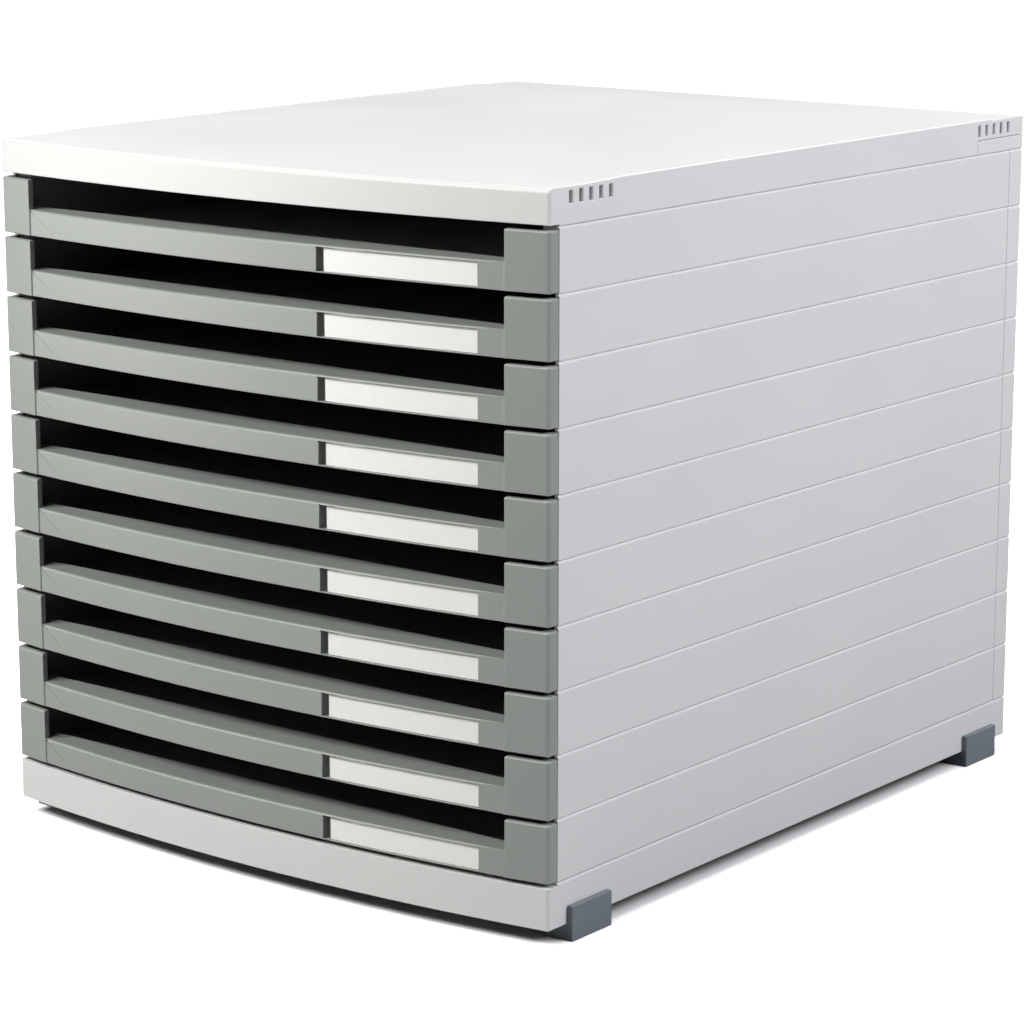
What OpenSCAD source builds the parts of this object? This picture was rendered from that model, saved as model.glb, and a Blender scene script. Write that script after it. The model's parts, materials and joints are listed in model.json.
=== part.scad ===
// Desktop file drawer: a free-standing plastic box with ten pull-out trays, one above the other.
// Millimetres. X runs to the right, Y to the back and Z up. The origin is on the table, under the
// middle of the box. The fronts bow outwards in plan, and every level repeats at one pitch.

/* [Housing] */
// Width of the housing over its side panels
body_w = 290; // [270:1:310]
// Depth of the housing, from the line between its front corners to its back
body_d = 350; // [330:1:385]
// How far the middle of the bowed front stands ahead of its corners
bow = 11; // [7:0.5:15]
// Wall thickness of the moulded housing pieces
wall_t = 2.2; // [1.8:0.1:2.8]
// Height of the housing without its feet
body_h = 288.5; // [284:0.5:330]
// Depth of the decorative grooves that mark the levels
groove_depth = 0.6; // [0.3:0.1:0.9]
// Clearance along the seams that can be seen between housing pieces
seam_gap = 0.3; // [0.2:0.1:0.5]

/* [Top cover] */
// Height of the cover's fascia and skirt
cover_h = 15.5; // [14:0.5:20]
// Thickness of the cover's top
cover_top_t = 2.4; // [2:0.1:3.2]
// How far the flat field of the top stands above its front and back lips
field_rise = 0.8; // [0.4:0.1:1.4]
// Depth of the flat lip behind the front corners
front_lip = 22; // [15:1:30]
// Length of the slope from the front lip up to the field
front_slope = 26; // [15:1:35]
// Depth of the flat lip along the back edge
back_lip = 24; // [15:1:35]
// Length of the slope from the field down to the back lip
back_slope = 4; // [2:1:10]

/* [Side slots] */
// Width of one slot
slot_w = 2.2; // [1.6:0.1:3]
// Height of one slot
slot_h = 5; // [3:0.5:6]
// Spacing of the slots
slot_pitch = 6.25; // [5:0.25:7]
// Distance from each end of the cover to the first slot's middle
slot_inset = 13; // [10:1:18]
// Distance from the top lip down to the slots
slot_drop = 1.5; // [1:0.1:2.2]

/* [Base] */
// Height of the base's fascia and skirt
base_h = 18; // [17:0.5:24]
// Thickness of the base's top plate
base_top_t = 2.2; // [1.8:0.1:3]
// Thickness of the ribs under the base
base_rib_t = 1.6; // [1.2:0.1:2.4]
// Height of the ribs under the base
base_rib_h = 6; // [4:0.5:9]

/* [Feet] */
// Length of a foot along the side of the base
foot_len = 26; // [18:1:34]
// Distance from each end of the housing to a foot
foot_inset = 12; // [8:1:24]
// How far a foot's plate stands out from the side
foot_plate_t = 2.7; // [1.8:0.1:4]
// How far the feet lift the base off the table
foot_drop = 7; // [5:0.5:10]
// How far a foot's plate reaches up the side
foot_rise = 7.6; // [5:0.2:10]
// Width of a foot's pad under the base
foot_pad_w = 20; // [14:1:28]
// Thickness of the tongue that clips inside the base's skirt
foot_tongue_t = 2.2; // [1.6:0.1:3]
// Clearance between that tongue and the skirt
foot_play = 0.2; // [0.1:0.05:0.4]

/* [Side and back panels] */
// Distance from the front corners back to the side panels' front edges
panel_setback = 6; // [4.5:0.5:8]
// How far a runner reaches in from the side wall
runner_w = 7; // [5:0.5:9]
// Thickness of a runner
runner_t = 1.6; // [1.2:0.1:2.2]
// Thickness of the back panel
back_t = 2.2; // [1.8:0.1:3]
// Width of the flange that wraps round onto each side
flange_w = 10.6; // [8:0.2:14]
// How far the flange's top tab reaches forward of the flange
tab_reach = 28.4; // [20:0.2:34]
// Height of the top tab above the cover's seam
tab_h = 6.5; // [4:0.25:7]

/* [Drawers] */
// Height of the dark gap between two drawer fronts
front_gap = 2; // [1.6:0.1:3]
// Width of the full-height ear at each end of a front
ear_w = 19; // [15:0.5:26]
// Height of the low bar between the ears
bar_h = 11; // [10.5:0.25:13]
// Thickness of the front's visible wall
front_t = 2.2; // [1.8:0.1:2.8]
// Thickness of the ledge on top of the bar
ledge_t = 1.8; // [1.4:0.1:2.4]
// Distance from the front corners back to the rear edge of the ledge
ledge_y = 7; // [5.5:0.25:9]
// Thickness of the tray's side walls and back wall
tray_t = 1.8; // [1.4:0.1:2.4]
// Thickness of the tray's floor
floor_t = 1.8; // [1.4:0.1:2.4]
// Space behind the closed tray
back_space = 3; // [1:0.5:8]
// Clearance between a tray's floor and its runners
slide_gap = 0.3; // [0.2:0.05:0.5]
// Clearance between a tray's side and the side panel
side_play = 0.5; // [0.3:0.05:0.8]

/* [Drawer stops] */
// How far a drawer pulls out before it meets its stops
travel = 270; // [200:5:285]
// Height of the lug on each rear corner of a tray
lug_h = 1.8; // [1.4:0.1:2.4]
// Length of that lug
lug_len = 6; // [4:0.5:10]
// Length of the catch on the side panel that holds the lug
catch_len = 3; // [2:0.5:6]
// Clearance round the lugs and catches
stop_gap = 0.4; // [0.3:0.05:0.6]

/* [Label holders] */
// Distance from the right ear to the label pocket
label_gap = 12; // [9:0.5:30]
// Width of the label pocket
label_w = 75; // [60:1:90]
// Solid strip of the bar below the pocket
label_lip_low = 0.5; // [0.4:0.1:1.2]
// Solid strip of the bar above the pocket
label_lip_top = 1; // [0.8:0.1:1.3]
// Depth of the pocket behind the bowed face
pocket_depth = 1.3; // [1.2:0.1:1.8]
// Width of the finger notch at the pocket's left end
notch_w = 3; // [2:0.25:6]
// Depth of the finger notch behind the face
notch_depth = 7; // [3:0.5:9]
// Clearance between the pocket's floor and the card
card_gap = 0.05; // [0.02:0.01:0.1]
// Thickness of the paper card
card_t = 0.3; // [0.2:0.05:0.4]
// Thickness of the clear window in front of the card
window_t = 0.6; // [0.4:0.05:0.7]
// Clearance round the card and the window
label_play = 0.15; // [0.1:0.05:0.3]

/* [Hidden] */
$fn = 720;
levels = 10;
slots = 5;
// How far two shapes of one piece run into each other, and a cutting shape past the face it cuts
eps = 0.01;
over = 1;

// The bowed front is one arc through both corners
front_y = -(body_d + bow) / 2;
corner_y = front_y + bow;
back_y = corner_y + body_d;
half_w = body_w / 2;
inner_x = half_w - wall_t;
bow_r = (half_w * half_w + bow * bow) / (2 * bow);
bow_cy = front_y + bow_r;

// Heights of the stack
base_z0 = foot_drop;
level_z0 = base_z0 + base_h;
level_pitch = (body_h - base_h - cover_h) / levels;
cover_z0 = level_z0 + levels * level_pitch;
top_z = cover_z0 + cover_h;
lip_z = top_z - field_rise;

// A drawer's heights above the bottom line of its level
front_z0 = front_gap / 2;
front_z1 = level_pitch - front_gap / 2;
bar_z1 = front_z0 + bar_h;
floor_z0 = runner_t + slide_gap;
ceiling_z = level_pitch - runner_t;
lug_z1 = ceiling_z - stop_gap;
tray_z1 = lug_z1 - lug_h;

// A drawer's places in plan
tray_x = inner_x - side_play;
panel_y0 = corner_y + panel_setback;
return_y1 = panel_y0 - seam_gap;
ledge_y1 = corner_y + ledge_y;
runner_y0 = max(panel_y0, ledge_y1 + seam_gap);
tray_y1 = back_y - back_t - back_space;
lug_y0 = tray_y1 - lug_len;
catch_y1 = lug_y0 - travel - stop_gap;
panel_y1 = back_y - flange_w - seam_gap;
tab_y0 = back_y - flange_w - tab_reach;

// The label pocket follows the bowed face, and the card starts to the right of the finger notch
label_x1 = half_w - ear_w - label_gap;
label_x0 = label_x1 - label_w;
card_x0 = label_x0 + notch_w;
notch_y1 = face_y(label_x0) + notch_depth;
pocket_z0 = front_z0 + label_lip_low;
pocket_z1 = bar_z1 - label_lip_top;

HOUSING_GREY = [0.86, 0.87, 0.88];
DRAWER_GREY = [0.58, 0.6, 0.59];
FOOT_GREY = [0.38, 0.42, 0.45];
CARD_WHITE = [0.97, 0.97, 0.95];
WINDOW_CLEAR = [0.9, 0.94, 0.95, 0.35];

// Drawer 01 is the top one
DRAWERS = [for (i = [1 : levels]) str("drawer_", i < 10 ? "0" : "", i)];
CARDS = [for (i = [1 : levels]) str("label_card_", i < 10 ? "0" : "", i)];
WINDOWS = [for (i = [1 : levels]) str("label_window_", i < 10 ? "0" : "", i)];

// Y of the bowed front face at a distance x from the middle
function face_y(x) = bow_cy - sqrt(bow_r * bow_r - x * x);

// Bottom line of the level that holds a drawer, counted from the top
function level_z(i) = cover_z0 - i * level_pitch;

// Plan area behind the bowed face, set back by inset, out to half_x and back to y1
module bowed_area(inset, half_x, y1) {
    intersection() {
        translate([0, bow_cy]) circle(r = bow_r - inset);
        translate([-half_x, front_y]) square([2 * half_x, y1 - front_y]);
    }
}

// A box from its lowest corner to its highest
module block(low, high) {
    translate(low) cube(high - low);
}

// Both sides of the housing from one drawn on the right
module both_sides() {
    children();
    mirror([1, 0, 0]) children();
}

// V grooves round the sides and the back at every level line
module level_grooves() {
    side = groove_depth * sqrt(2);
    for (i = [0 : levels]) translate([0, 0, level_z0 + i * level_pitch]) {
        both_sides() translate([half_w, front_y, 0]) rotate([0, 45, 0])
            translate([-side / 2, 0, -side / 2]) cube([side, back_y - front_y + over, side]);
        translate([-half_w - over, back_y, 0]) rotate([45, 0, 0])
            translate([0, -side / 2, -side / 2]) cube([body_w + 2 * over, side, side]);
    }
}

// Opening in the cover's skirt that the back panel's tab fills, or the tab itself when gap is 0
module tab_space(gap) {
    past = gap > 0 ? over : 0;
    block([inner_x - gap, tab_y0 - gap, cover_z0 - past],
          [half_w + past, back_y + past, cover_z0 + tab_h + gap]);
}

// Five slots near one end of the skirt, counted from that end's first slot
module slot_row(first_y, step) {
    for (i = [0 : slots - 1])
        translate([inner_x - over, first_y + i * step - slot_w / 2, lip_z - slot_drop - slot_h])
            cube([wall_t + 2 * over, slot_w, slot_h]);
}

// Side view of the cover's top: front lip, slope, raised field and back lip
module cover_profile() {
    polygon([
        [front_y - over, cover_z0],
        [back_y + over, cover_z0],
        [back_y + over, lip_z],
        [back_y - back_lip, lip_z],
        [back_y - back_lip - back_slope, top_z],
        [corner_y + front_lip + front_slope, top_z],
        [corner_y + front_lip, lip_z],
        [front_y - over, lip_z]
    ]);
}

module top_cover() {
    color(HOUSING_GREY) difference() {
        intersection() {
            translate([0, 0, cover_z0]) linear_extrude(cover_h) bowed_area(0, half_w, back_y);
            rotate([90, 0, 90]) translate([0, 0, -half_w - over])
                linear_extrude(body_w + 2 * over) cover_profile();
        }
        translate([0, 0, cover_z0 - over]) linear_extrude(lip_z - cover_top_t - cover_z0 + over)
            bowed_area(wall_t, inner_x, back_y - wall_t);
        // The fascia stops short of the first drawer's front
        block([-half_w - over, front_y - over, cover_z0 - over],
              [half_w + over, panel_y0, cover_z0 + front_z0]);
        both_sides() {
            tab_space(seam_gap);
            slot_row(corner_y + slot_inset, slot_pitch);
            slot_row(back_y - slot_inset, -slot_pitch);
        }
        level_grooves();
    }
}

module base_plate() {
    color(HOUSING_GREY) {
        difference() {
            translate([0, 0, base_z0]) linear_extrude(base_h) bowed_area(0, half_w, back_y);
            translate([0, 0, base_z0 - over]) linear_extrude(base_h - base_top_t + over)
                bowed_area(wall_t, inner_x, back_y - wall_t);
            // The fascia stops short of the last drawer's front
            block([-half_w - over, front_y - over, level_z0 - front_z0],
                  [half_w + over, panel_y0, level_z0 + over]);
            level_grooves();
        }
        // Stiffening ribs under the top plate
        rib_z1 = level_z0 - base_top_t + eps;
        for (x = [-body_w / 4, 0, body_w / 4])
            block([x - base_rib_t / 2, corner_y, rib_z1 - base_rib_h],
                  [x + base_rib_t / 2, back_y - wall_t + eps, rib_z1]);
        for (y = [corner_y + body_d / 4, corner_y + body_d / 2, corner_y + 3 * body_d / 4])
            block([-inner_x - eps, y - base_rib_t / 2, rib_z1 - base_rib_h],
                  [inner_x + eps, y + base_rib_t / 2, rib_z1]);
    }
}

// One side panel, drawn on the right: wall, ten runners, the top guide and a catch at every level
module side_panel() {
    color(HOUSING_GREY) {
        difference() {
            block([inner_x, panel_y0, level_z0], [half_w, panel_y1, cover_z0]);
            level_grooves();
        }
        for (i = [1 : levels]) translate([0, 0, level_z(i)]) {
            block([inner_x - runner_w, runner_y0, 0], [inner_x + eps, panel_y1, runner_t]);
            block([tray_x - tray_t - side_play, catch_y1 - catch_len, tray_z1 + stop_gap],
                  [inner_x + eps, catch_y1, ceiling_z + eps]);
        }
        block([inner_x - runner_w, runner_y0, cover_z0 - runner_t], [inner_x + eps, panel_y1, cover_z0]);
    }
}

module back_panel() {
    color(HOUSING_GREY) difference() {
        union() {
            block([-half_w, back_y - back_t, level_z0], [half_w, back_y, cover_z0]);
            both_sides() {
                block([inner_x, back_y - flange_w, level_z0], [half_w, back_y, cover_z0 + eps]);
                tab_space(0);
            }
        }
        level_grooves();
    }
}

// One foot, drawn at the front right: it hooks round the lower edge of the base's skirt
module foot() {
    color(FOOT_GREY) translate([0, corner_y + foot_inset, 0]) {
        block([half_w + foot_plate_t - foot_pad_w, 0, 0], [half_w + foot_plate_t, foot_len, base_z0]);
        block([half_w, 0, base_z0 - eps], [half_w + foot_plate_t, foot_len, base_z0 + foot_rise]);
        block([inner_x - foot_play - foot_tongue_t, 0, base_z0 - eps],
              [inner_x - foot_play, foot_len, base_z0 + foot_rise]);
    }
}

// A foot moved back along the side to the rear of the base
module rear_foot() {
    translate([0, body_d - 2 * foot_inset - foot_len, 0]) foot();
}

// Plan of a band that follows the bowed face, from x0 to x1 and between two depths behind the face
module face_band(x0, x1, depth0, depth1) {
    intersection() {
        translate([0, bow_cy]) difference() {
            circle(r = bow_r - depth0);
            circle(r = bow_r - depth1);
        }
        translate([x0, front_y - over]) square([x1 - x0, ledge_y1 - front_y + over]);
    }
}

// Plan of the space behind the bowed wall of the bar, open below
module bar_hollow() {
    difference() {
        bowed_area(front_t, tray_x - tray_t, ledge_y1 - tray_t);
        face_band(label_x0 - front_t, label_x1 + front_t, 0, pocket_depth + front_t);
        translate([label_x0 - front_t, front_y])
            square([notch_w + 2 * front_t, notch_y1 + front_t - front_y]);
    }
}

// Low bar along the front: bowed wall, ledge on top, straight wall behind, and the label pocket
module front_bar() {
    difference() {
        translate([0, 0, front_z0]) linear_extrude(bar_h) union() {
            bowed_area(0, half_w, return_y1);
            bowed_area(0, tray_x, ledge_y1);
        }
        translate([0, 0, front_z0 - over]) linear_extrude(bar_h - ledge_t + over) bar_hollow();
        translate([0, 0, pocket_z0]) linear_extrude(pocket_z1 - pocket_z0) {
            face_band(label_x0, label_x1, -over, pocket_depth);
            translate([label_x0, front_y - over]) square([notch_w, notch_y1 - front_y + over]);
        }
    }
}

// Full-height plate at each end of the front, with its return along the side
module ears() {
    translate([0, 0, front_z0]) linear_extrude(front_z1 - front_z0) difference() {
        bowed_area(0, half_w, return_y1);
        bowed_area(front_t, tray_x - tray_t, return_y1 + over);
        translate([ear_w - half_w, front_y - over]) square([2 * (half_w - ear_w), bow + front_t + 2 * over]);
    }
}

// Tray behind the front: floor, two side walls and the back wall
module tray() {
    difference() {
        block([-tray_x, ledge_y1 - tray_t, floor_z0], [tray_x, tray_y1, tray_z1]);
        block([tray_t - tray_x, ledge_y1 - tray_t - over, floor_z0 + floor_t],
              [tray_x - tray_t, tray_y1 - tray_t, tray_z1 + over]);
    }
    // The side walls run on under the ears
    both_sides() {
        block([tray_x - tray_t, corner_y, floor_z0], [tray_x, ledge_y1, tray_z1]);
        block([tray_x - tray_t, lug_y0, tray_z1 - eps], [tray_x, tray_y1, lug_z1]);
    }
}

module drawer(i) {
    color(DRAWER_GREY) translate([0, 0, level_z(i)]) {
        front_bar();
        ears();
        tray();
    }
}

// A strip lying in the pocket, between two heights above its floor
module pocket_strip(i, low, high) {
    translate([0, 0, level_z(i) + pocket_z0 + label_play])
        linear_extrude(pocket_z1 - pocket_z0 - 2 * label_play)
            face_band(card_x0 + label_play, label_x1 - label_play, pocket_depth - high, pocket_depth - low);
}

module label_card(i) {
    color(CARD_WHITE) pocket_strip(i, card_gap, card_gap + card_t);
}

module label_window(i) {
    color(WINDOW_CLEAR) pocket_strip(i, card_gap + card_t, card_gap + card_t + window_t);
}

top_cover();
base_plate();
mirror([1, 0, 0]) side_panel();  // left_side_panel
side_panel();  // right_side_panel
back_panel();
mirror([1, 0, 0]) foot();  // foot_front_left
foot();  // foot_front_right
mirror([1, 0, 0]) rear_foot();  // foot_rear_left
rear_foot();  // foot_rear_right
for (i = [1 : levels]) {
    drawer(i);
    label_card(i);
    label_window(i);
}
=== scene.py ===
import json
import math

import bmesh
import bpy
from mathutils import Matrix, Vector

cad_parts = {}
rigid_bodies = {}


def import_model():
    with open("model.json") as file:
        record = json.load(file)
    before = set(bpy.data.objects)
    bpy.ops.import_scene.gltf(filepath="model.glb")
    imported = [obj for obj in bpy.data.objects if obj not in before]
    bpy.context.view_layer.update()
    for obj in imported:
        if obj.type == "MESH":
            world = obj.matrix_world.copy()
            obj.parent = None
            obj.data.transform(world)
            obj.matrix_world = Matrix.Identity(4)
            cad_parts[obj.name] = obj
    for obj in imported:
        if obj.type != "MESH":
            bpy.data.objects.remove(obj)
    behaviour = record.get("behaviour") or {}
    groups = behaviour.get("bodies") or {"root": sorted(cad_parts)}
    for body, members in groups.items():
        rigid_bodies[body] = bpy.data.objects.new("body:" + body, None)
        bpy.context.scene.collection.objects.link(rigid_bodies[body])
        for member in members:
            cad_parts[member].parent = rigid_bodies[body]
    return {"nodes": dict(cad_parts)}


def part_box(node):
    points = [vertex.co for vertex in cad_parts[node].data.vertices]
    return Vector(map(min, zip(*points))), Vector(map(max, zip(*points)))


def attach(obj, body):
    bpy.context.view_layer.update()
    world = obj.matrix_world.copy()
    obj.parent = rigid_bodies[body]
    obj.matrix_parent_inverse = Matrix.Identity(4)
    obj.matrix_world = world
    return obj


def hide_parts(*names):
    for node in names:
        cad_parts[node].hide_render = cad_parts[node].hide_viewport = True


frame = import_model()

# Blender's own start-up objects aren't part of the scene.
for leftover in [o for o in bpy.data.objects if o.name in ("Cube", "Light", "Camera")]:
    bpy.data.objects.remove(leftover)
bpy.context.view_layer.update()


# ---- Camera ------------------------------------------------------------------------------------
# The photographer stands in front of the box and to its right, a little above its top, and looks
# at it through a long lens, so its edges stay almost parallel.

CAMERA_AZIMUTH, CAMERA_ELEVATION = 37.951, 12.308
CAMERA_DISTANCE = 1.4893
CAMERA_LOOKS_AT = Vector((-0.0049, 0, 0.1238))
SENSOR_MM, LENS_MM = 36, 117.74
FARTHEST_SEEN = 100


def toward(azimuth, elevation):
    """Unit vector from the box at an azimuth, from the front towards the right, and a height."""
    a, e = math.radians(azimuth), math.radians(elevation)
    return Vector((math.sin(a) * math.cos(e), -math.cos(a) * math.cos(e), math.sin(e)))


def aim(thing, place, direction):
    """Puts a camera or a light at a place, looking against the direction."""
    thing.location = place
    thing.rotation_mode = "QUATERNION"
    thing.rotation_quaternion = direction.to_track_quat("Z", "Y")
    bpy.context.scene.collection.objects.link(thing)
    return thing


camera_line = toward(CAMERA_AZIMUTH, CAMERA_ELEVATION)
camera = bpy.data.objects.new("camera", bpy.data.cameras.new("camera"))
camera.data.sensor_width = SENSOR_MM
camera.data.lens = LENS_MM
camera.data.clip_end = FARTHEST_SEEN
aim(camera, CAMERA_LOOKS_AT + CAMERA_DISTANCE * camera_line, camera_line)
bpy.context.scene.camera = camera
bpy.context.scene.view_settings.view_transform = "Standard"


# ---- Studio ------------------------------------------------------------------------------------
# A wide matt white floor in a dim room. Two neutral lights stand in front, a cool one at the right
# and neutral ones at the back and the left. A white card shows only as sheen on the plastic, and a
# sun and a lamp light nothing but the floor.

class Reading:
    """An output of a shader node. Arithmetic on it adds the Math nodes it takes."""

    def __init__(self, finish, socket):
        self.finish = finish
        self.socket = socket

    def maths(self, operation, first, second):
        return self.finish.node("Math", {0: first, 1: second}, operation=operation)

    def __add__(self, other):
        return self.maths("ADD", self, other)

    def __radd__(self, other):
        return self.maths("ADD", other, self)

    def __sub__(self, other):
        return self.maths("SUBTRACT", self, other)

    def __rsub__(self, other):
        return self.maths("SUBTRACT", other, self)

    def __mul__(self, other):
        return self.maths("MULTIPLY", self, other)

    def __rmul__(self, other):
        return self.maths("MULTIPLY", other, self)


class Finish:
    """A material, or the world, whose nodes are added one by one with node()."""

    def __init__(self, owner):
        owner.use_nodes = True
        self.owner = owner
        self.tree = owner.node_tree
        self.tree.nodes.clear()

    def node(self, kind, sockets=None, stops=None, output=0, **settings):
        """Adds a node: first its settings and its ramp's stops, then its sockets' values or links."""
        made = self.tree.nodes.new("ShaderNode" + kind)
        for name, value in settings.items():
            setattr(made, name, value)
        for i, (place, colour) in enumerate(stops or ()):
            stop = made.color_ramp.elements[i] if i < 2 else made.color_ramp.elements.new(place)
            stop.position = place
            stop.color = colour
        for name, value in (sockets or {}).items():
            if isinstance(value, Reading):
                self.tree.links.new(value.socket, made.inputs[name])
            else:
                made.inputs[name].default_value = value
        return Reading(self, made.outputs[output] if made.outputs else None)


# The room looks white to the camera and gives the box only a little light, from above.
ROOM_LIGHT = 0.04
white_room = Finish(bpy.data.worlds.new("white_room"))
bpy.context.scene.world = white_room.owner
seen = white_room.node("LightPath", output="Is Camera Ray")
way = white_room.node("TexCoord", output="Generated")
height = white_room.node("SeparateXYZ", {"Vector": way}, output="Z")
overhead = white_room.node("Math", {0: height, 1: 0.0}, operation="MAXIMUM")
room_light = white_room.node("Background", {
    "Color": (1, 1, 1, 1), "Strength": seen + (1 - seen) * (ROOM_LIGHT * (overhead * overhead))})
white_room.node("OutputWorld", {"Surface": room_light})


BOX_MIDDLE = Vector((0, 0, 0.15))
NEUTRAL, COOL = (1, 0.995, 0.965), (0.955, 0.96, 1)


def disk_light(name, size, watts):
    """A round soft light, not yet placed."""
    light = bpy.data.objects.new(name, bpy.data.lights.new(name, "AREA"))
    light.data.shape = "DISK"
    light.data.size = size
    light.data.energy = watts
    return light


def studio_light(name, azimuth, elevation, distance, size, watts, colour):
    """A round soft light that faces the middle of the box."""
    light = disk_light(name, size, watts)
    light.data.color = colour
    line = toward(azimuth, elevation)
    return aim(light, BOX_MIDDLE + distance * line, line)


studio_light("key_light", -38, 36, 2.0, 0.7, 19.6, NEUTRAL)
studio_light("front_light", -10, 37, 1.5, 0.5, 9.9, NEUTRAL)
studio_light("right_light", 101, 36, 1.6, 0.9, 21.4, COOL)
studio_light("back_light", 180, 50, 1.6, 0.9, 11.8, NEUTRAL)
studio_light("left_light", -112, 35, 1.8, 0.9, 5.0, NEUTRAL)
white_card = studio_light("white_card", -45, 4, 1.3, 0.7, 8.4, NEUTRAL)
white_card.visible_diffuse = False

# The floor is white to the camera and dark to the box, so that little light comes up from it.
FLOOR_HALF = 15.0
FLOOR_SHADES = (0.925, 0.925, 0.925, 1), (0.94, 0.94, 0.94, 1)
FLOOR_TO_THE_BOX = (0.122, 0.122, 0.122, 1)
floor_mesh = bpy.data.meshes.new("floor")
floor_mesh.from_pydata([(-FLOOR_HALF, -FLOOR_HALF, 0), (FLOOR_HALF, -FLOOR_HALF, 0),
                        (FLOOR_HALF, FLOOR_HALF, 0), (-FLOOR_HALF, FLOOR_HALF, 0)],
                       [], [(0, 1, 2, 3)])
floor = bpy.data.objects.new("floor", floor_mesh)
bpy.context.scene.collection.objects.link(floor)
floor_finish = Finish(bpy.data.materials.new("floor_white"))
floor_tone = floor_finish.node("TexNoise", {"Scale": 0.7, "Detail": 1.0}, output="Fac")
floor_colour = floor_finish.node("ValToRGB", {"Fac": floor_tone},
                                 [(0.3, FLOOR_SHADES[0]), (0.7, FLOOR_SHADES[1])])
floor_seen = floor_finish.node("LightPath", output="Is Camera Ray")
# Sockets 6 and 7 are the Mix node's two colours, and its output 2 is the mixed one.
floor_shown = floor_finish.node("Mix", {0: floor_seen, 6: FLOOR_TO_THE_BOX, 7: floor_colour},
                                output=2, data_type="RGBA")
floor_surface = floor_finish.node("BsdfPrincipled", {
    "Base Color": floor_shown, "Roughness": 0.7, "Specular IOR Level": 0.2})
floor_finish.node("OutputMaterial", {"Surface": floor_surface})
floor_mesh.materials.append(floor_finish.owner)

floor_only = bpy.data.collections.new("floor_only")
floor_only.objects.link(floor)

# An even sun for the floor alone, so that the floor stays white far from the box.
sun_line = toward(-30, 75)
floor_light = bpy.data.objects.new("floor_light", bpy.data.lights.new("floor_light", "SUN"))
floor_light.data.energy = 3.8
floor_light.data.angle = math.radians(70)
aim(floor_light, 3 * sun_line, sun_line)
floor_light.light_linking.receiver_collection = floor_only

# A lamp over the floor at the left front: only its light from the floor reaches the box.
floor_lamp = aim(disk_light("floor_lamp", 0.4, 15.0), Vector((-0.4, -0.6, 0.9)), Vector((0, 0, 1)))
floor_lamp.light_linking.receiver_collection = floor_only


# ---- Base --------------------------------------------------------------------------------------
# The base is one injection moulding in light grey polystyrene: a plate with a bowed fascia in
# front, a skirt all round and stiffening ribs below. The side panels snap onto it.

MM = 0.001
WIDEST = 2.4 * MM                    # full width of the bevel, of which each edge takes a share
ROOM_SHARE = 0.42                    # most that an edge's rounding takes of its shortest neighbour
SAME_POINT = 1e-6
FLAT_BELOW = math.radians(0.05)
SMOOTH_BELOW = math.radians(12)
STRAIGHT = 0.99                      # an edge whose direction has this much of an axis follows it


def moulded(node, body, finish, radius, reshape=None):
    """Stands in for a CAD node with a moulding of the same form whose edges are rounded.

    radius(middle, along, normals, convex) gives each edge's radius in millimetres, from its middle
    above the node's lowest corner, its direction and the normals of the two faces that meet there.
    reshape(form) may change the form before that.
    """
    low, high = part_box(node)
    form = bmesh.new()
    form.from_mesh(frame["nodes"][node].data)
    bmesh.ops.remove_doubles(form, verts=form.verts, dist=SAME_POINT)
    if reshape:
        reshape(form)
    bmesh.ops.dissolve_limit(form, angle_limit=FLAT_BELOW, verts=form.verts, edges=form.edges)
    form.normal_update()
    weight = form.edges.layers.float.new("bevel_weight_edge")
    for face in form.faces:
        face.smooth = True
    for edge in form.edges:
        if len(edge.link_faces) != 2:
            continue
        angle = edge.calc_face_angle()
        along = (edge.verts[1].co - edge.verts[0].co).normalized()
        if angle < SMOOTH_BELOW:
            # Facets of one bowed face run on smoothly. Creases along the width stay crisp.
            edge.smooth = abs(along.x) < STRAIGHT
            continue
        middle = ((edge.verts[0].co + edge.verts[1].co) / 2 - low) / MM
        normals = [face.normal for face in edge.link_faces]
        wanted = radius(middle, along, normals, edge.is_convex) * MM
        room = min([near.calc_length() for vert in edge.verts for near in vert.link_edges
                    if near is not edge and near.calc_face_angle(0) >= SMOOTH_BELOW] or [1])
        edge[weight] = min(wanted, ROOM_SHARE * room) / WIDEST
    mesh = bpy.data.meshes.new(node)
    form.to_mesh(mesh)
    form.free()
    mesh.materials.append(finish)
    piece = bpy.data.objects.new("moulded_" + node, mesh)
    bpy.context.scene.collection.objects.link(piece)
    rounding = piece.modifiers.new("rounding", "BEVEL")
    rounding.limit_method = "WEIGHT"
    rounding.width = WIDEST
    rounding.segments = 4
    rounding.use_clamp_overlap = False
    even_light = piece.modifiers.new("even_light", "WEIGHTED_NORMAL")
    even_light.keep_sharp = True
    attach(piece, body)
    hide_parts(node)
    return piece


def satin_plastic(name, light, dark, grain_mm, grain_height_mm, roughness):
    """Moulded plastic with a spark-eroded satin grain and a tone that drifts a little over a piece."""
    finish = Finish(bpy.data.materials.new(name))
    place = finish.node("TexCoord", output="Object")
    drift = finish.node("TexNoise", {"Vector": place, "Scale": 14.0, "Detail": 2.0}, output="Fac")
    colour = finish.node("ValToRGB", {"Fac": drift}, [(0.3, dark + (1,)), (0.7, light + (1,))])
    grain = finish.node("TexNoise", {"Vector": place, "Scale": 1 / (grain_mm * MM), "Detail": 2.0},
                        output="Fac")
    relief = finish.node("Bump", {"Height": grain, "Strength": 1.0, "Distance": grain_height_mm * MM})
    surface = finish.node("BsdfPrincipled", {
        "Base Color": colour, "Roughness": roughness - 0.05 + 0.1 * drift, "Normal": relief,
        "IOR": 1.5, "Specular IOR Level": 0.5})
    finish.node("OutputMaterial", {"Surface": surface})
    return finish.owner


def upright(along):
    """Whether an edge runs straight up."""
    return abs(along.z) > STRAIGHT


def in_front(normals):
    """Whether one of the two faces that meet at an edge looks to the front."""
    return min(n.y for n in normals) < -0.9


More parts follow.
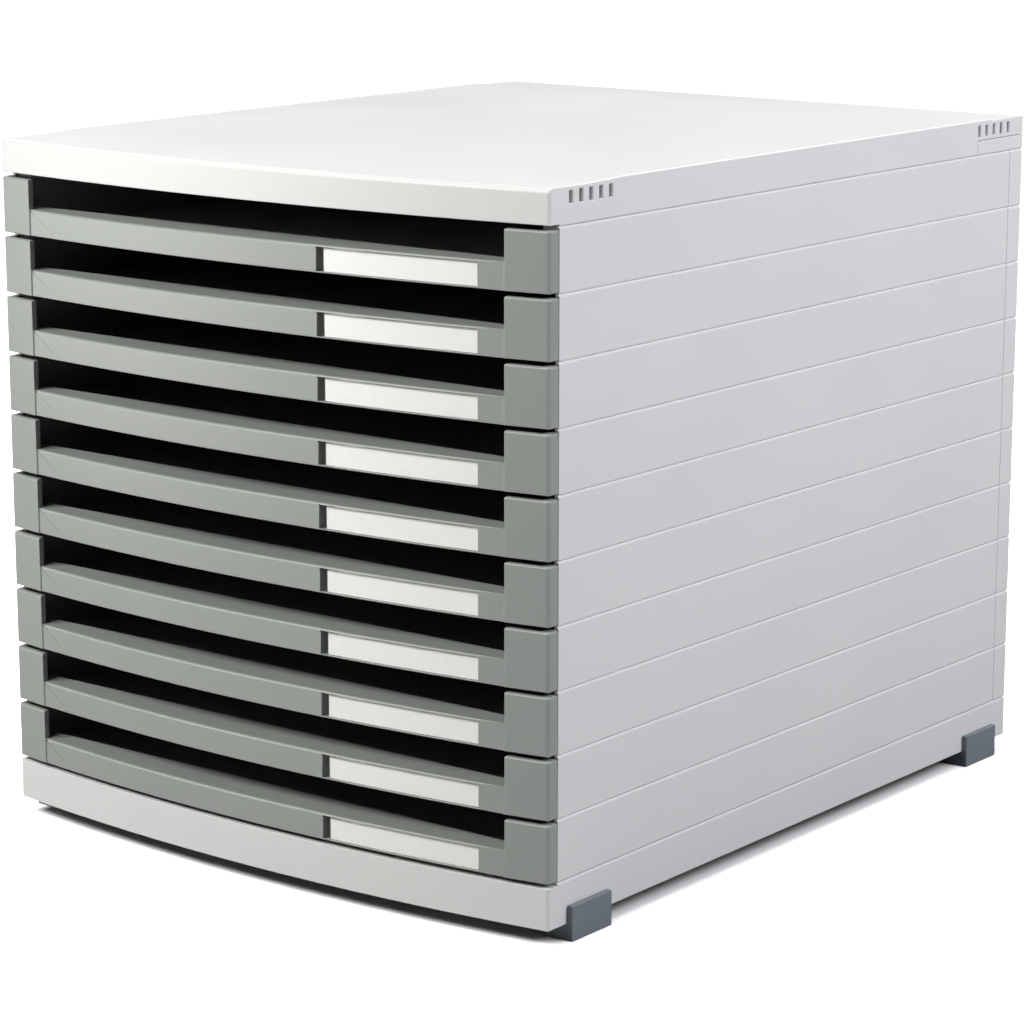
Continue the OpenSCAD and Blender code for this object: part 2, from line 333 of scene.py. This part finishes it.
def diagonal(normal):
    """Whether a face slants by 45 degrees, as the flanks of the V grooves do."""
    return any(abs(abs(share) - 0.707) < 0.02 for share in (normal.x, normal.z))


def housing_radius(middle, along, normals, convex):
    """The housing's edges: small everywhere, larger at the front corners, crisp at the grooves."""
    if upright(along) and in_front(normals) and convex:
        return 1.2
    if middle.y > 1 and all(diagonal(n) for n in normals):
        return 0.1
    return 0.3


housing_plastic = satin_plastic("housing_plastic", light=(0.735, 0.739, 0.735),
                                dark=(0.715, 0.72, 0.721), grain_mm=0.35, grain_height_mm=0.006,
                                roughness=0.42)
moulded("base_plate", "housing", housing_plastic, housing_radius)


# ---- Feet --------------------------------------------------------------------------------------
# Four feet in slate grey plastic clip round the lower edge of the base. Each has a plate outside
# the skirt, a pad below it and a tongue inside.

def all_edges(radius):
    """A radius in millimetres for every edge of a piece."""
    return lambda middle, along, normals, convex: radius


foot_plastic = satin_plastic("foot_plastic", light=(0.19, 0.218, 0.242), dark=(0.172, 0.2, 0.223),
                             grain_mm=0.3, grain_height_mm=0.008, roughness=0.5)
for foot in ("foot_front_left", "foot_front_right", "foot_rear_left", "foot_rear_right"):
    moulded(foot, "housing", foot_plastic, all_edges(0.5))


# ---- Side and back panels ----------------------------------------------------------------------
# The side panels stand on the base and carry the drawers on moulded runners. The back panel wraps
# round both sides with a flange. V grooves mark every level outside.

for panel in ("left_side_panel", "right_side_panel", "back_panel"):
    moulded(panel, "housing", housing_plastic, housing_radius)


# ---- Top cover ---------------------------------------------------------------------------------
# The cover closes the box with a bowed fascia and a skirt that has five slots at each end. Its top
# has a lip in front and behind, and a field raised by less than a millimetre between them.

FIELD_RAISED = 0.8
cover_low, cover_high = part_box("top_cover")
LIP_UP = (cover_high.z - cover_low.z) / MM - FIELD_RAISED


def cover_radius(middle, along, normals, convex):
    """The cover's top edge is soft in front, less so at the sides and the back."""
    if convex and middle.z > LIP_UP - 0.2:
        return 2.0 if in_front(normals) else 1.0
    return housing_radius(middle, along, normals, convex)


moulded("top_cover", "housing", housing_plastic, cover_radius)


# ---- Drawers -----------------------------------------------------------------------------------
# Ten trays in mid grey polystyrene, each moulded in one with its bowed bar, the ledge above it and
# the two ears. They slide on the side panels' runners.

DRAWER_WIDE = 290.0
BAR_UP = 11.0                        # top of the bar above the drawer's lowest corner
EAR_UP = 23.5                        # top of the ears, likewise
EAR_WIDE = 19.0
EAR_DEEP = 20.0                      # the ears' edges lie this near to the drawer's foremost point
EAR_PROUD = 0.6
EAR_RAMP = 0.4
EAR_FACE_FROM = -0.165               # the ears' faces lie in front of this plane, in metres
LABEL_FROM, LABEL_TO = 184.0, 259.0
THIN_LIP = 9.0                       # the lip is thin this far past both ends of the label
CLOSE = 0.05


def drawer_radius(middle, along, normals, convex):
    """A drawer's edges: the bar's and ears' upper ones catch the light, the pocket's stay crisp."""
    front = in_front(normals)
    from_side = min(middle.x, DRAWER_WIDE - middle.x)
    outer = from_side < 0.5
    if not convex:
        return 0.15
    if front and upright(along) and outer:
        return 1.4
    if front and upright(along) and from_side < EAR_WIDE + 1:
        return 0.9
    if front and abs(middle.z - BAR_UP) < CLOSE:
        # The lip above the label's pocket is thin
        return 0.75 if LABEL_FROM - THIN_LIP < middle.x < LABEL_TO + THIN_LIP else 1.2
    if middle.z > EAR_UP - CLOSE and middle.y < EAR_DEEP:
        return 1.0 if front or outer else 0.5
    if front and 0.2 < middle.z < BAR_UP - 0.5:
        return 0.12
    return 0.3


def turned_ears(form):
    """Turns the face of each ear a little outwards, so that its inner edge stands proud of the bar."""
    outer = DRAWER_WIDE / 2 * MM
    inner = outer - EAR_WIDE * MM
    ramp = EAR_RAMP * MM
    for cut in (-inner, -inner + ramp, inner - ramp, inner):
        bmesh.ops.bisect_plane(form, geom=form.verts[:] + form.edges[:] + form.faces[:], dist=1e-7,
                               plane_co=(cut, 0, 0), plane_no=(1, 0, 0))
    form.normal_update()
    face = {vert for f in form.faces
            if in_front([f.normal]) and f.calc_center_median().y < EAR_FACE_FROM
            for vert in f.verts}
    for vert in face:
        if abs(vert.co.x) > inner - SAME_POINT:
            vert.co.y -= EAR_PROUD * MM * (outer - abs(vert.co.x)) / (outer - inner)
    form.normal_update()


drawer_plastic = satin_plastic("drawer_plastic", light=(0.313, 0.333, 0.316),
                               dark=(0.298, 0.317, 0.303), grain_mm=0.35, grain_height_mm=0.006,
                               roughness=0.4)
drawers = sorted(node for node in frame["nodes"] if node.startswith("drawer_"))
for drawer in drawers:
    moulded(drawer, drawer + "_body", drawer_plastic, drawer_radius, turned_ears)


# ---- Label cards -------------------------------------------------------------------------------
# A strip of plain white card, cut from sheet, lies in the pocket of every bar. The pocket ends on
# the left in a notch for a finger.

paper = Finish(bpy.data.materials.new("label_paper"))
place = paper.node("TexCoord", output="Object")
fibre = paper.node("TexNoise", {"Vector": place, "Scale": 900.0, "Detail": 4.0}, output="Fac")
paper_colour = paper.node("ValToRGB", {"Fac": fibre},
                          [(0.3, (0.90, 0.90, 0.885, 1)), (0.7, (0.93, 0.93, 0.92, 1))])
paper_relief = paper.node("Bump", {"Height": fibre, "Strength": 1.0, "Distance": 0.006 * MM})
paper_surface = paper.node("BsdfPrincipled", {
    "Base Color": paper_colour, "Roughness": 0.8, "Normal": paper_relief, "Specular IOR Level": 0.3})
paper.node("OutputMaterial", {"Surface": paper_surface})
for drawer in drawers:
    card = drawer.replace("drawer", "label_card")
    moulded(card, drawer + "_body", paper.owner, all_edges(0.05))


# ---- Label windows -----------------------------------------------------------------------------
# A strip of clear stiff plastic covers each card, and the pocket's edges hold both of them. It is
# slightly hazy, so it shows a soft sheen and no sharp reflection.

WINDOW_AIR = 0.08                    # a breath of air between the strip and the card it lies on
HEAD_ON_MIRROR, EDGE_ON_MIRROR = 0.045, 0.9
clear = Finish(bpy.data.materials.new("label_window"))
place = clear.node("TexCoord", output="Object")
haze = clear.node("TexNoise", {"Vector": place, "Scale": 60.0, "Detail": 2.0}, output="Fac")
slant = clear.node("LayerWeight", {"Blend": 0.5}, output="Facing")
mirror = HEAD_ON_MIRROR + EDGE_ON_MIRROR * (slant * slant * slant * slant * slant)
sheet = clear.node("BsdfTransparent", {"Color": (0.998, 1, 0.999, 1)})
gloss = clear.node("BsdfGlossy", {"Color": (1, 1, 1, 1), "Roughness": 0.38 + 0.03 * haze})
clear_surface = clear.node("MixShader", {0: mirror, 1: sheet, 2: gloss})
clear.node("OutputMaterial", {"Surface": clear_surface})
for drawer in drawers:
    window = drawer.replace("drawer", "label_window")
    strip = moulded(window, drawer + "_body", clear.owner, all_edges(0.1))
    for vertex in strip.data.vertices:
        if vertex.normal.y > 0:
            vertex.co.y -= WINDOW_AIR * MM


# ---- Update ------------------------------------------------------------------------------------
# Blender works out once more where every object stands.


bpy.context.view_layer.update()
